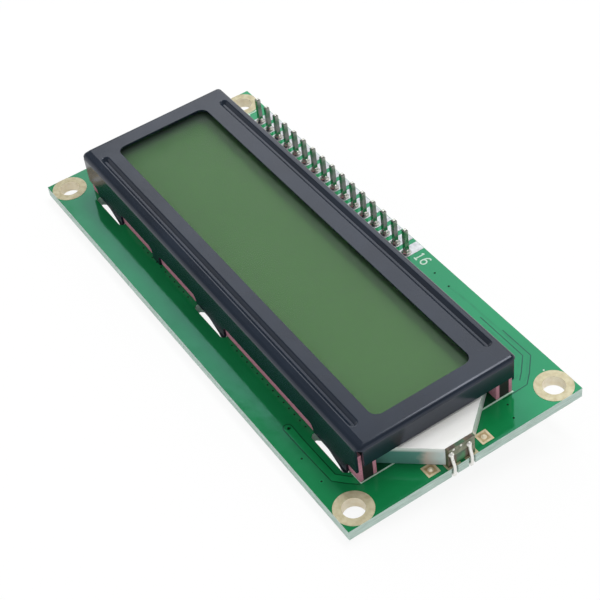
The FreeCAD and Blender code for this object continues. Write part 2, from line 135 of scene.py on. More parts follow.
def add(tree, kind, inputs=None, **settings):
    """Add a node with its settings; an input is a value or another node's output."""
    made = tree.nodes.new(kind)
    for name, value in settings.items():
        setattr(made, name, value)
    for key, value in (inputs or {}).items():
        if isinstance(value, bpy.types.NodeSocket):
            tree.links.new(value, made.inputs[key])
        else:
            made.inputs[key].default_value = value
    return made


class Finish:
    """A material in the making: its shader, and patterns laid out in millimetres."""

    # A plain noise's detail, and the range that it mostly keeps to
    DETAIL, LOWEST, HIGHEST = 2.0, 0.3, 0.7

    def __init__(self, name, **constants):
        """Start one, with what is the same all over set on the shader's own sockets."""
        self.material = bpy.data.materials.new(name)
        self.material.use_nodes = True
        self.tree = self.material.node_tree
        self.shader = self.tree.nodes["Principled BSDF"]
        for key, value in constants.items():
            self.shader.inputs[key.replace("_", " ")].default_value = value
        place = add(self.tree, "ShaderNodeTexCoord")
        in_mm = add(self.tree, "ShaderNodeVectorMath",
                    {0: place.outputs["Object"], "Scale": 1 / MM}, operation="SCALE")
        self.mm = in_mm.outputs[0]

    def stretch(self, x, y, z):
        """Lay out the patterns that follow so many times finer along each axis."""
        mapped = add(self.tree, "ShaderNodeMapping", {"Vector": self.mm, "Scale": (x, y, z)})
        self.mm = mapped.outputs["Vector"]

    def mottled(self, scale, low, high, detail=3.0, start=0.35, end=0.65):
        """Two colours blended by a soft noise; scale is in spots per millimetre."""
        noise = add(self.tree, "ShaderNodeTexNoise",
                    {"Vector": self.mm, "Scale": scale, "Detail": detail})
        blend = add(self.tree, "ShaderNodeValToRGB", {"Fac": noise.outputs["Fac"]})
        for stop, place, colour in zip(blend.color_ramp.elements, (start, end), (low, high)):
            stop.position = place
            stop.color = linear(colour) if isinstance(colour, str) else colour
        return blend.outputs["Color"]

    def varied(self, scale, low, high):
        """A number that drifts between two values with a soft noise."""
        noise = add(self.tree, "ShaderNodeTexNoise",
                    {"Vector": self.mm, "Scale": scale, "Detail": self.DETAIL})
        spread = add(self.tree, "ShaderNodeMapRange", {
            "Value": noise.outputs["Fac"], "From Min": self.LOWEST,
            "From Max": self.HIGHEST, "To Min": low, "To Max": high})
        return spread.outputs["Result"]

    def feed(self, key, source):
        """Lead a pattern into one of the shader's sockets."""
        self.tree.links.new(source, self.shader.inputs[key])

    def tone(self, *pattern):
        """Colour the surface with a mottle, given as mottled takes it."""
        self.feed("Base Color", self.mottled(*pattern))

    def gloss(self, *pattern):
        """Let the roughness drift, given as varied takes it."""
        self.feed("Roughness", self.varied(*pattern))

    def relief(self, scale, depth, rounded=False):
        """Unevenness of a depth in millimetres, and edges that catch light as rounded do."""
        noise = add(self.tree, "ShaderNodeTexNoise",
                    {"Vector": self.mm, "Scale": scale, "Detail": self.DETAIL})
        bump = add(self.tree, "ShaderNodeBump", {
            "Height": noise.outputs["Fac"], "Strength": 1.0, "Distance": depth * MM})
        if rounded:
            edge = add(self.tree, "ShaderNodeBevel", {"Radius": sizes().edge_round * MM},
                       samples=4)
            self.tree.links.new(edge.outputs["Normal"], bump.inputs["Normal"])
        self.feed("Normal", bump.outputs["Normal"])


def shade(colour, factor):
    """A colour made lighter or darker."""
    return tuple(min(1.0, c * factor) for c in colour[:3]) + (1.0,)


def lacquer(name):
    """Cured solder mask to be toned, and its colour; its pigment makes the gloss cyan."""
    made = Finish(name, IOR=1.52, Specular_Tint=(0.42, 0.88, 1.0, 1.0))
    return made, tuple(colours().mask)


def green_solder_mask():
    """Glossy green lacquer, poured thin: smooth, with painted light and reflection making it
    lighter towards the header.
    """
    # Painted light: from y 7 to 13 mm the lacquer is painted lighter, standing in for the light
    # and reflection the board catches near the header.
    painted_light_from, painted_light_full = 7.0, 13.0
    made, mask = lacquer("green_solder_mask")
    axes = add(made.tree, "ShaderNodeSeparateXYZ", {"Vector": made.mm})
    over = add(made.tree, "ShaderNodeMapRange", {
        "Value": axes.outputs["Y"], "From Min": painted_light_from, "From Max": painted_light_full})
    plain = made.mottled(0.09, shade(mask, 0.9), shade(mask, 1.08))
    light = made.mottled(0.09, shade(mask, 1.3), shade(mask, 1.45))
    mixed = add(made.tree, "ShaderNodeMix", {
        "Factor": over.outputs["Result"], "A": plain, "B": light}, data_type="RGBA")
    made.feed("Base Color", mixed.outputs["Result"])
    made.gloss(0.5, 0.07, 0.11)
    made.relief(0.35, 0.012, rounded=True)
    return made


def masked_copper():
    """The same lacquer where copper lies under it: a lighter, warmer green."""
    made, mask = lacquer("solder_mask_over_copper")
    made.tone(0.6, shade(mask, 1.15), shade(mask, 1.35))
    made.gloss(0.8, 0.07, 0.11)
    made.relief(0.6, 0.01)
    return made


def gap_and_shade_lacquer():
    """The lacquer where no copper lies under it, as in the gaps beside a track: darker. It is
    also laid as painted shade under the bezel's end.
    """
    made, mask = lacquer("solder_mask_in_gaps_and_shade")
    made.tone(0.6, shade(mask, 0.3), shade(mask, 0.45))
    made.gloss(0.8, 0.1, 0.16)
    return made


def plugged_via():
    """A via's hole closed by lacquer: a small dark pit without gloss."""
    made = Finish("plugged_via", Roughness=0.9, Specular_IOR_Level=0.1)
    made.tone(2.0, "#0B2015", "#12301F")
    return made


def glass_epoxy():
    """Sawn glass-epoxy laminate: pale grey green, with its glass cloth in layers."""
    made = Finish("glass_epoxy_laminate", IOR=1.5, Roughness=0.62)
    made.stretch(0.35, 0.35, 7.0)
    made.tone(1.2, "#A1B9AE", "#CBDFD7", 4.0, 0.3, 0.7)
    made.relief(3.0, 0.02, rounded=True)
    return made


def satin_black_paint():
    """Satin black enamel baked on steel: faint orange peel, a bluish sheen."""
    paint = tuple(colours().paint)
    made = Finish("satin_black_enamel", IOR=1.5, Specular_Tint=(0.84, 0.88, 1.0, 1.0))
    made.tone(0.15, shade(paint, 0.85), shade(paint, 1.15))
    made.gloss(0.35, 0.2, 0.25)
    made.relief(1.4, 0.002)
    return made


def tone_as_screen(made):
    """Give a finish the screen's green, as the film behind the cell shows it."""
    screen = tuple(colours().screen)
    made.tone(0.06, shade(screen, 0.97), shade(screen, 1.03))
    return made


def anti_glare_polariser():
    """Polariser film with a matt hard coat: a thin grey haze over what lies below."""
    made = Finish("anti_glare_polariser", IOR=1.5, Alpha=0.19, Specular_IOR_Level=0.65)
    made.tone(0.06, "#5B6167", "#5E646A")
    made.gloss(0.2, 0.28, 0.32)
    return made


def float_glass():
    """Thin soda-lime glass, bonded under film so that it has no gloss of its own."""
    return tone_as_screen(Finish("thin_float_glass", IOR=1.52, Alpha=0.02, Roughness=0.4,
                                 Specular_IOR_Level=0.0))


def rear_reflector_film():
    """The rear polariser's pearly green, as it fills all that lies behind the front glass."""
    return tone_as_screen(Finish("pearly_rear_film", IOR=1.5, Roughness=0.35,
                                 Specular_IOR_Level=0.2))


def pink_silicone_foam():
    """Closed-cell silicone foam skin of the connector strips: dusty pink and matt."""
    made = Finish("pink_silicone_foam", Roughness=0.85)
    made.tone(5.0, "#C07D8F", "#D194A6", 5.0)
    made.relief(9.0, 0.03)
    return made


def carbon_silicone():
    """The strips' core: black carbon-filled layers between clear ones, stacked finely."""
    made = Finish("striped_carbon_silicone", Roughness=0.7)
    # The real layers are 0.1 mm apart; they are drawn at 0.25 mm so that they show.
    lines = add(made.tree, "ShaderNodeTexWave", {
        "Vector": made.mm, "Scale": 0.64, "Distortion": 0.3},
        wave_type="BANDS", bands_direction="X")
    blend = add(made.tree, "ShaderNodeValToRGB", {"Fac": lines.outputs["Fac"]})
    blend.color_ramp.elements[0].color = linear("#141414")
    blend.color_ramp.elements[1].color = linear("#33302F")
    made.feed("Base Color", blend.outputs["Color"])
    return made


def clear_acrylic():
    """Moulded acrylic of the light guide: teal near the bezel, paler towards the lamp, with
    painted light along its top edge.
    """
    paler_from, paler_to = 32.5, 38.5
    lit_rim_from, lit_rim_to = 2.35, 2.8
    made = Finish("clear_acrylic", IOR=1.49, Alpha=0.92, Roughness=0.15)
    tree = made.tree
    axes = add(tree, "ShaderNodeSeparateXYZ", {"Vector": made.mm})
    drift = add(tree, "ShaderNodeMath", {0: axes.outputs["Y"], 1: 0.5, 2: axes.outputs["X"]},
                operation="MULTIPLY_ADD")
    drift = add(tree, "ShaderNodeMath", {0: drift.outputs[0], 1: made.varied(0.6, -0.35, 0.35)},
                operation="ADD")
    along = add(tree, "ShaderNodeMapRange", {
        "Value": drift.outputs[0], "From Min": paler_from, "From Max": paler_to})
    blend = add(tree, "ShaderNodeValToRGB", {"Fac": along.outputs["Result"]})
    ramp = blend.color_ramp
    ramp.elements[0].color = linear("#598F84")
    ramp.elements[1].color = linear("#F2F5F3")
    for place, code in ((0.3, "#62938A"), (0.5, "#C6BCB2"), (0.78, "#C8DAD7")):
        ramp.elements.new(place).color = linear(code)
    # Painted light: the top of the guide's side is painted near white from 2.35 mm up, fully by
    # 2.8 mm.
    rim = add(tree, "ShaderNodeMapRange", {
        "Value": axes.outputs["Z"], "From Min": lit_rim_from, "From Max": lit_rim_to, "To Max": 0.9})
    mixed = add(tree, "ShaderNodeMix", {
        "Factor": rim.outputs["Result"], "A": blend.outputs["Color"],
        "B": linear("#E4EBE7")}, data_type="RGBA")
    made.feed("Base Color", mixed.outputs["Result"])
    made.relief(0.8, 0.01, rounded=True)
    return made


def white_diffuser():
    """White polyester film: milky, smooth, with a soft sheen."""
    made = Finish("white_polyester_film", IOR=1.58)
    made.tone(0.2, "#F8F8F5", "#FDFDFB")
    made.gloss(0.8, 0.3, 0.4)
    made.relief(0.5, 0.006)
    return made


def carrier_laminate():
    """The lamp's own small board: dull green, with painted shade in dark brown beside its two
    wires.
    """
    made = Finish("carrier_laminate", IOR=1.5, Roughness=0.4)
    wires = [middle_of("lamp_lead_%d" % number).y for number in (1, 2)]
    axes = add(made.tree, "ShaderNodeSeparateXYZ", {"Vector": made.mm})
    # How far a point lies from the nearer wire
    away = axes.outputs["Y"]
    for amount in (sum(wires) / 2, abs(wires[1] - wires[0]) / 2):
        away = add(made.tree, "ShaderNodeMath", {0: away, 1: amount},
                   operation="SUBTRACT").outputs[0]
        away = add(made.tree, "ShaderNodeMath", {0: away}, operation="ABSOLUTE").outputs[0]
    # Painted shade: dark brown within 0.5 mm of each wire, fading out by 0.85 mm.
    near = add(made.tree, "ShaderNodeMapRange", {
        "Value": away, "From Min": 0.5, "From Max": 0.85, "To Min": 1.0, "To Max": 0.0})
    mixed = add(made.tree, "ShaderNodeMix", {
        "Factor": near.outputs["Result"],
        "A": made.mottled(0.9, "#2C5234", "#357A48", 4.0, 0.4, 0.6),
        "B": made.mottled(1.6, "#3E3122", "#63523A", 4.0)}, data_type="RGBA")
    made.feed("Base Color", mixed.outputs["Result"])
    made.relief(3.0, 0.02, rounded=True)
    return made


def stained_tin():
    """Tinned land left dull and olive by flux."""
    made = Finish("flux_stained_tin", Metallic=0.4)
    made.tone(1.8, "#6C705C", "#8F937C", 4.0)
    made.gloss(2.0, 0.4, 0.55)
    return made


def moulded_white_resin():
    """The emitter's white moulded body."""
    made = Finish("moulded_white_resin", IOR=1.5, Roughness=0.35)
    made.tone(1.0, "#E9E6D6", "#F3F1E6")
    return made


def tinned_metal():
    """Solder and tin plate: silvery, mottled where it froze."""
    made = Finish("tinned_solder", Metallic=1.0)
    made.tone(2.5, "#B9B7B0", "#E2E0DA", 4.0)
    made.gloss(3.0, 0.18, 0.28)
    made.relief(1.5, 0.004, rounded=True)
    return made


def bright_wire():
    """Drawn copper wire dipped in tin: smooth and bright."""
    made = Finish("bright_tinned_wire", Metallic=0.7)
    made.tone(0.8, "#EAE8E2", "#F6F5F1")
    made.gloss(0.8, 0.26, 0.34)
    return made


def levelled_tin():
    """Pads dipped in solder and blown level: pale, soft-edged reflections."""
    made = Finish("levelled_tin", Metallic=0.8)
    made.tone(1.2, "#B4B7BC", "#CDD0D4")
    made.gloss(1.5, 0.42, 0.55)
    made.relief(1.5, 0.01)
    return made


def plated_pin():
    """Drawn brass wire with a bright tin plating: long faint drawing lines."""
    made = Finish("bright_plated_brass", Metallic=1.0)
    made.stretch(9.0, 9.0, 0.5)
    made.tone(1.0, "#9FA19A", "#B6B7B0")
    made.gloss(2.0, 0.16, 0.24)
    made.relief(2.0, 0.001, rounded=True)
    return made


def gilt_copper():
    """Thin gold over nickel and copper: pale, satin, faintly blotched by handling."""
    made = Finish("gilt_copper_land", Metallic=0.35)
    made.tone(1.3, "#B4AA88", "#C8C1A2", 5.0)
    made.gloss(1.5, 0.36, 0.46)
    made.relief(3.0, 0.004, rounded=True)
    return made


def gilt_barrel():
    """The plated wall of a hole: the same thin gold, smoother and paler."""
    made = Finish("gilt_hole_wall", Metallic=0.15)
    made.tone(1.3, "#F1E6CC", "#F8F0DC")
    made.gloss(1.5, 0.34, 0.44)
    return made


def gilt_pad(name):
    """A square pad: gilt rim, flux-browned middle and a bright bead of solder."""
    made = Finish("gilt_pad_with_bead_" + name[-1])
    tree = made.tree
    middle = middle_of(name)
    place = made.mm
    for operation, amount in (("SUBTRACT", (middle.x, middle.y, 0.0)),
                              ("MULTIPLY", (1.0, 1.0, 0.0))):
        place = add(tree, "ShaderNodeVectorMath", {0: place, 1: amount},
                    operation=operation).outputs[0]
    away = add(tree, "ShaderNodeVectorMath", {0: place}, operation="LENGTH")
    flat = add(tree, "ShaderNodeVectorMath", {0: place}, operation="ABSOLUTE")
    axes = add(tree, "ShaderNodeSeparateXYZ", {"Vector": flat.outputs[0]})
    square = add(tree, "ShaderNodeMath", {0: axes.outputs["X"], 1: axes.outputs["Y"]},
                 operation="MAXIMUM")
    rim = add(tree, "ShaderNodeMapRange", {
        "Value": square.outputs[0], "From Min": 0.55, "From Max": 0.7})
    bead = add(tree, "ShaderNodeMapRange", {
        "Value": away.outputs["Value"], "From Min": 0.3, "From Max": 0.42,
        "To Min": 1.0, "To Max": 0.0})
    land = add(tree, "ShaderNodeMix", {
        "Factor": rim.outputs["Result"],
        "A": made.mottled(2.0, "#A08860", "#BCA67C", 4.0),
        "B": made.mottled(1.3, "#CDB892", "#DDD0B0", 5.0)}, data_type="RGBA")
    mixed = add(tree, "ShaderNodeMix", {
        "Factor": bead.outputs["Result"], "A": land.outputs["Result"],
        "B": linear("#F0E6CC")}, data_type="RGBA")
    metal = add(tree, "ShaderNodeMapRange", {
        "Value": bead.outputs["Result"], "To Min": 0.3, "To Max": 0.6})
    made.feed("Base Color", mixed.outputs["Result"])
    made.feed("Metallic", metal.outputs["Result"])
    made.gloss(1.5, 0.3, 0.42)
    return made


def white_ink():
    """Screen-printed white ink: matt and slightly thin at its edges."""
    ink = tuple(colours().ink)
    made = Finish("white_screen_ink", Roughness=0.55)
    made.tone(6.0, shade(ink, 0.8), ink, 4.0, 0.25, 0.5)
    made.relief(8.0, 0.01)
    return made


def moulded_black_nylon():
    """Glass-filled nylon of the header's strip: dull black with flow marks."""
    made = Finish("moulded_black_nylon", IOR=1.53)
    made.tone(1.2, "#141415", "#222223", 5.0)
    made.gloss(2.0, 0.42, 0.6)
    made.relief(5.0, 0.02, rounded=True)
    return made


def black_potting_resin():
    """Epoxy poured over a chip: black, glossy, with slow ripples."""
    made = Finish("black_potting_resin", IOR=1.55)
    made.tone(0.5, "#0E0E0F", "#1C1C1D")
    made.gloss(0.4, 0.22, 0.4)
    made.relief(0.6, 0.06)
    return made


def chip_body(name, dark, light):
    """The fired ceramic of small chip parts: matt, with softened edges."""
    made = Finish(name, IOR=1.5)
    made.tone(4.0, dark, light)
    made.gloss(3.0, 0.3, 0.5)
    made.relief(4.0, 0.02, rounded=True)
    return made


def seen_by(tree, *kinds):
    """1 for rays of any of these kinds, and 0 for the others."""
    path = add(tree, "ShaderNodeLightPath")
    seen = path.outputs[kinds[0]]
    for kind in kinds[1:]:
        seen = add(tree, "ShaderNodeMath", {0: seen, 1: path.outputs[kind]},
                   operation="MAXIMUM").outputs[0]
    return seen


def pale_studio_floor():
    """The stage's pale floor: it looks white, and keeps the object's shadow."""
    own_white = 0.9
    made = Finish("pale_studio_floor", Roughness=0.9)
    made.tone(0.004, "#F8F8F8", "#FCFCFC")
    seen = seen_by(made.tree, "Is Camera Ray", "Is Glossy Ray", "Is Transmission Ray")
    share = add(made.tree, "ShaderNodeMath", {0: seen, 1: own_white}, operation="MULTIPLY")
    glow = add(made.tree, "ShaderNodeEmission", {"Color": (1, 1, 1, 1), "Strength": 1.0})
    mixed = add(made.tree, "ShaderNodeMixShader", {
        "Fac": share.outputs[0], 1: made.shader.outputs["BSDF"], 2: glow.outputs["Emission"]})
    made.tree.links.new(mixed.outputs["Shader"],
                        made.tree.nodes["Material Output"].inputs["Surface"])
    return made


_made = {}


def material(maker, *words):
    """The material a maker gives, made once."""
    key = (maker.__name__,) + words
    if key not in _made:
        _made[key] = maker(*words).material
    return _made[key]


# Pieces


def box_of(name):
    """A CAD node's lowest and highest corners, in millimetres."""
    return [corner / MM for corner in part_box(name)]


def middle_of(name):
    """The middle of a CAD node, in millimetres."""
    low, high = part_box(name)
    return (low + high) / 2 / MM


def repaint(names, maker, *words):
    """Give CAD nodes a maker's material in place of the plain one."""
    for name in names:
        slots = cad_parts[name].data.materials
        slots.clear()
        slots.append(material(maker, *words))


def placed(name, data):
    """A new object in the scene."""
    made = bpy.data.objects.new(name, data)
    bpy.context.collection.objects.link(made)
    return made


def link(name, mesh, materials):
    """A new piece from a mesh, riding on the module's one body."""
    piece = placed(name, mesh)
    for made in materials:
        mesh.materials.append(made)
    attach(piece, "root")
    return piece


def as_mesh(shape, name):
    """A mesh of an edited shape, which is let go."""
    mesh = bpy.data.meshes.new(name)
    shape.to_mesh(mesh)
    shape.free()
    return mesh


def broad_flats(shape, least):
    """Which flat each face lies in, for the flats wider than a fold's narrow facets."""
    found = {}
    for number, start in enumerate(shape.faces):
        if start in found:
            continue
        found[start] = number
        region = [start]
        for face in region:
            for other in (f for edge in face.edges for f in edge.link_faces):
                if other not in found and face.normal.angle(other.normal, 0.0) < FLAT:
                    found[other] = number
                    region.append(other)
        corners = [v.co for face in region for v in face.verts]
        reach = Vector([max(c[i] for c in corners) - min(c[i] for c in corners)
                        for i in range(3)]).length
        if sum(face.calc_area() for face in region) < least * MM * reach:
            for face in region:
                found[face] = -1
    return found


def smooth_copy(cad, name, materials, angle=35.0, sided=False, reshape=None,
                flats_from=0.0):
    """A copy of a CAD node whose curved faces shade smoothly, shown in its place.

    Edges sharper than angle, in degrees, stay crisp. A sided copy's sides take the second
    material.
    Flats wider than flats_from, in millimetres, keep their whole rims crisp.
    """
    shape = bmesh.new()
    shape.from_mesh(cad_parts[cad].data)
    bmesh.ops.remove_doubles(shape, verts=shape.verts, dist=WELD * MM)
    if reshape:
        reshape(shape)
    shape.normal_update()
    for face in shape.faces:
        face.smooth = True
        if sided and abs(face.normal.z) < SIDE:
            face.material_index = 1
    flats = broad_flats(shape, flats_from) if flats_from else {}
    for edge in shape.edges:
        if len(edge.link_faces) != 2 or edge.calc_face_angle() > math.radians(angle):
            edge.smooth = False
        elif flats:
            sides = {flats[face] for face in edge.link_faces}
            edge.smooth = len(sides) == 1
    piece = link(name, as_mesh(shape, name), materials)
    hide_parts(cad)
    return piece


def tree_for(name, **lengths):
    """An empty geometry tree with named inputs, whose defaults are in millimetres."""
    tree = bpy.data.node_groups.new(name, "GeometryNodeTree")
    face = tree.interface
    face.new_socket("Geometry", in_out="INPUT", socket_type="NodeSocketGeometry")
    for label, length in lengths.items():
        made = face.new_socket(label, in_out="INPUT", socket_type="NodeSocketFloat")
        made.default_value = length * MM
    face.new_socket("Geometry", in_out="OUTPUT", socket_type="NodeSocketGeometry")
    return tree, add(tree, "NodeGroupInput").outputs


def close_tree(tree, geometry, made):
    """End a tree in real geometry with its material set."""
    real = add(tree, "GeometryNodeRealizeInstances", {"Geometry": geometry})
    coloured = add(tree, "GeometryNodeSetMaterial", {"Geometry": real.outputs[0],
                                                     "Material": made})
    end = add(tree, "NodeGroupOutput")
    tree.links.new(coloured.outputs[0], end.inputs[0])


def grown(name, start_mesh, tree, cad_slot, smooth=False, **lengths):
    """Run a geometry tree on a mesh, with lengths in millimetres, and keep a plain piece."""
    source = placed(name + "_source", start_mesh)
    run = source.modifiers.new("grow", "NODES")
    run.node_group = tree
    for item in tree.interface.items_tree:
        if item.item_type == "SOCKET" and item.in_out == "INPUT" and item.name in lengths:
            run[item.identifier] = lengths[item.name] * MM
    bpy.context.view_layer.update()
    seen = source.evaluated_get(bpy.context.evaluated_depsgraph_get())
    mesh = bpy.data.meshes.new_from_object(seen)
    mesh.name = name
    bpy.data.objects.remove(source)
    if not mesh.polygons:
        raise RuntimeError(name + " came out empty")
    for face in mesh.polygons:
        face.use_smooth = smooth
    return link(name, mesh, [])


def paths_mesh(name, paths):
    """A mesh of open paths of points in millimetres; a path of one point is a place."""
    points = []
    edges = []
    for path in paths:
        first = len(points)
        points += [Vector(p) * MM for p in path]
        edges += [(first + i, first + i + 1) for i in range(len(path) - 1)]
    mesh = bpy.data.meshes.new(name)
    mesh.from_pydata(points, edges, [])
    return mesh


def sweep(tree, curve, profile, made):
    """End a tree in a profile swept along a curve, with its ends closed."""
    swept = add(tree, "GeometryNodeCurveToMesh", {
        "Curve": curve, "Profile Curve": profile, "Fill Caps": True})
    close_tree(tree, swept.outputs[0], made)
    return tree


def ribbon_tree(made):
    """Flat ribbons along paths: tracks under the mask, or printed lines."""
    tree, given = tree_for("flat_ribbon", Width=0.3, Height=0.03)
    curve = add(tree, "GeometryNodeMeshToCurve", {"Mesh": given["Geometry"]})
    level = add(tree, "GeometryNodeSetCurveNormal", {"Curve": curve.outputs[0]}, mode="Z_UP")
    profile = add(tree, "GeometryNodeCurvePrimitiveQuadrilateral",
                  {"Width": given["Width"], "Height": given["Height"]})
    return sweep(tree, level.outputs[0], profile.outputs[0], made)


def wire_tree(made):
    """Round wire along paths."""
    tree, given = tree_for("round_wire", Radius=0.25)
    curve = add(tree, "GeometryNodeMeshToCurve", {"Mesh": given["Geometry"]})
    profile = add(tree, "GeometryNodeCurvePrimitiveCircle", {
        "Resolution": 16, "Radius": given["Radius"]})
    return sweep(tree, curve.outputs[0], profile.outputs[0], made)


def disc_tree(made):
    """A low disc on each place: a via under the mask, or its plugged hole."""
    tree, given = tree_for("low_disc", Radius=0.3, Height=0.03)
    disc = add(tree, "GeometryNodeMeshCylinder", {
        "Vertices": 20, "Radius": given["Radius"], "Depth": given["Height"]})
    copies = add(tree, "GeometryNodeInstanceOnPoints", {
        "Points": given["Geometry"], "Instance": disc.outputs["Mesh"]})
    close_tree(tree, copies.outputs[0], made)
    return tree


def lathe(profile, steps):
    """A closed mesh turned about Z from (radius, height) points in millimetres."""
    around = [2 * math.pi * i / steps for i in range(steps)]
    points = [Vector((r * math.cos(a), r * math.sin(a), z)) * MM
              for r, z in profile for a in around]
    faces = []
    for ring in range(0, len(points) - steps, steps):
        for i in range(steps):
            a = ring + i
            b = ring + (i + 1) % steps
            faces.append((a, b, b + steps, a + steps))
    faces.append(tuple(reversed(range(steps))))
    faces.append(tuple(range(len(points) - steps, len(points))))
    mesh = bpy.data.meshes.new("turned")
    mesh.from_pydata(points, [], faces)
    return mesh


def lathe_at(name, profile, places, made, turn=(0.0, "X"), steps=24):
    """Turned shapes tipped by degrees about an axis, at places, joined into one piece."""
    shape = bmesh.new()
    tipped = Matrix.Rotation(math.radians(turn[0]), 4, turn[1])
    for place in places:
        copy = lathe(profile, steps)
        copy.transform(Matrix.Translation(Vector(place) * MM) @ tipped)
        shape.from_mesh(copy)
        bpy.data.meshes.remove(copy)
    bmesh.ops.recalc_face_normals(shape, faces=shape.faces)
    for face in shape.faces:
        face.smooth = len(face.verts) == 4
    return link(name, as_mesh(shape, name), [made])


def plates(name, boxes, made):
    """Thin plates, each (x0, x1, y0, y1, z0, z1) in millimetres, with softened rims."""
    shape = bmesh.new()
    for x0, x1, y0, y1, z0, z1 in boxes:
        grown_box = bmesh.ops.create_cube(shape, size=1.0)["verts"]
        size = Matrix.Diagonal((x1 - x0, y1 - y0, z1 - z0, 1.0))
        middle = Matrix.Translation(((x0 + x1) / 2, (y0 + y1) / 2, (z0 + z1) / 2))
        bmesh.ops.transform(shape, matrix=middle @ size, verts=grown_box)
    rim = 0.2 * min(min(b[1] - b[0], b[3] - b[2], b[5] - b[4]) for b in boxes)
    bmesh.ops.bevel(shape, geom=shape.edges[:], offset=rim, segments=2, affect="EDGES")
    bmesh.ops.scale(shape, vec=(MM, MM, MM), verts=shape.verts)
    return link(name, as_mesh(shape, name), [made])


# Where things are, in millimetres

BOARD_LOW, BOARD_HIGH = box_of("circuit_board")
PINS = ["header_pin_%02d" % number for number in range(1, 17)]

# The height of a mark's middle over the board's front: half its thickness stands above it.
LEVEL = 0.0
# A mark that others cross lies a little lower, and one on top of another a little higher.
SUNK = -0.002
STEP_UP = 0.004

TRACKS = [
    [(15.12, 16.03), (19.4, 16.27), (31.4, 16.3), (34.1, 13.9), (34.74, 12.84),
     (34.76, 11.4)],
    [(23.6, 15.2), (31.0, 15.18), (33.55, 12.65), (33.6, 11.4)],
]
WIDE_TRACK = [[(22.3, -14.95), (32.2, -14.87), (34.5, -12.7)]]
GAPS = [
    [(31.9, -14.34), (29.7, -14.36), (24.8, -14.42)]
    + [(22.25 + 0.66 * math.cos(math.radians(a)), -14.95 + 0.62 * math.sin(math.radians(a)))
       for a in range(75, 286, 30)]
    + [(26.6, -15.5), (32.5, -15.31), (33.8, -14.18), (35.05, -12.88)],
    [(31.9, -14.34), (33.6, -12.9)],
    [(26.0, 16.53), (31.7, 16.54), (33.9, 14.5), (35.25, 13.0), (35.3, 10.8), (35.35, 9.0)],
    [(22.3, 15.74), (31.1, 15.72), (33.2, 13.75), (34.15, 12.7)],
]
# Painted shade: strips of the darker gap lacquer under the bezel's end, on both sides of the
# light guide, where the bezel's shade falls.
SHADE_UNDER_BEZEL_END = [[(33.6, -10.0), (33.6, -5.5)], [(33.6, 4.5), (33.6, 8.8)]]
VIAS = [(11.87, 16.11), (15.12, 16.03), (36.31, 8.99), (38.46, 8.21), (22.27, -14.9),
        (27.4, -16.27), (31.81, -16.3)]
# Small vias at the near contact row's pitch, in two runs between the tabs
ROW_PITCH = 1.27
VIA_ROW = [(start + ROW_PITCH * i, -13.06) for start, count in ((-18.7, 11), (5.65, 15))
           for i in range(count)]
# The bezel's outline in print, where the bezel's end leaves it to be seen
OUTLINE = [[(33.0, -12.62), (35.0, -12.62), (35.0, -7.2)], [(35.0, 5.4), (35.0, 10.95)]]
DOT = (34.71, 16.18)

# Serifed digits as strokes from a lower left corner, and how high they are drawn here
DRAWN = 1.6
ONE = [[(0.0, 0.0), (0.66, 0.0)], [(0.33, 0.0), (0.33, 1.55)], [(0.36, 1.52), (0.08, 1.3)]]
SIX = [[(0.44 + 0.42 * math.cos(math.pi * i / 10), 0.46 + 0.46 * math.sin(math.pi * i / 10))
        for i in range(21)],
       [(0.02, 0.46), (0.05, 0.85), (0.2, 1.24), (0.44, 1.5), (0.68, 1.54), (0.84, 1.38)]]

# Turned profiles of solder, as (radius, height)
REAR_HEAP = [(0.5, 0.0), (0.47, 0.12), (0.38, 0.27), (0.28, 0.37), (0.14, 0.43), (0.02, 0.45)]
FRONT_DOT = [(0.4, 0.0), (0.38, 0.1), (0.32, 0.26), (0.23, 0.37), (0.12, 0.44), (0.02, 0.46)]
SPECK = [(0.19, 0.0), (0.17, 0.07), (0.1, 0.13), (0.02, 0.15)]
FILLET = [(0.74, 0.03), (0.73, 0.06), (0.62, 0.14), (0.53, 0.28), (0.47, 0.46), (0.44, 0.66),
          (0.36, 0.7)]


def printed_digits(strokes, corner, height):
    """Strokes moved to a corner and grown to the digits' height, each over the last."""
    grow = sizes().digit_height / DRAWN
    return [[(corner[0] + x * grow, corner[1] + y * grow, height + STEP_UP * number)
             for x, y in stroke] for number, stroke in enumerate(strokes)]


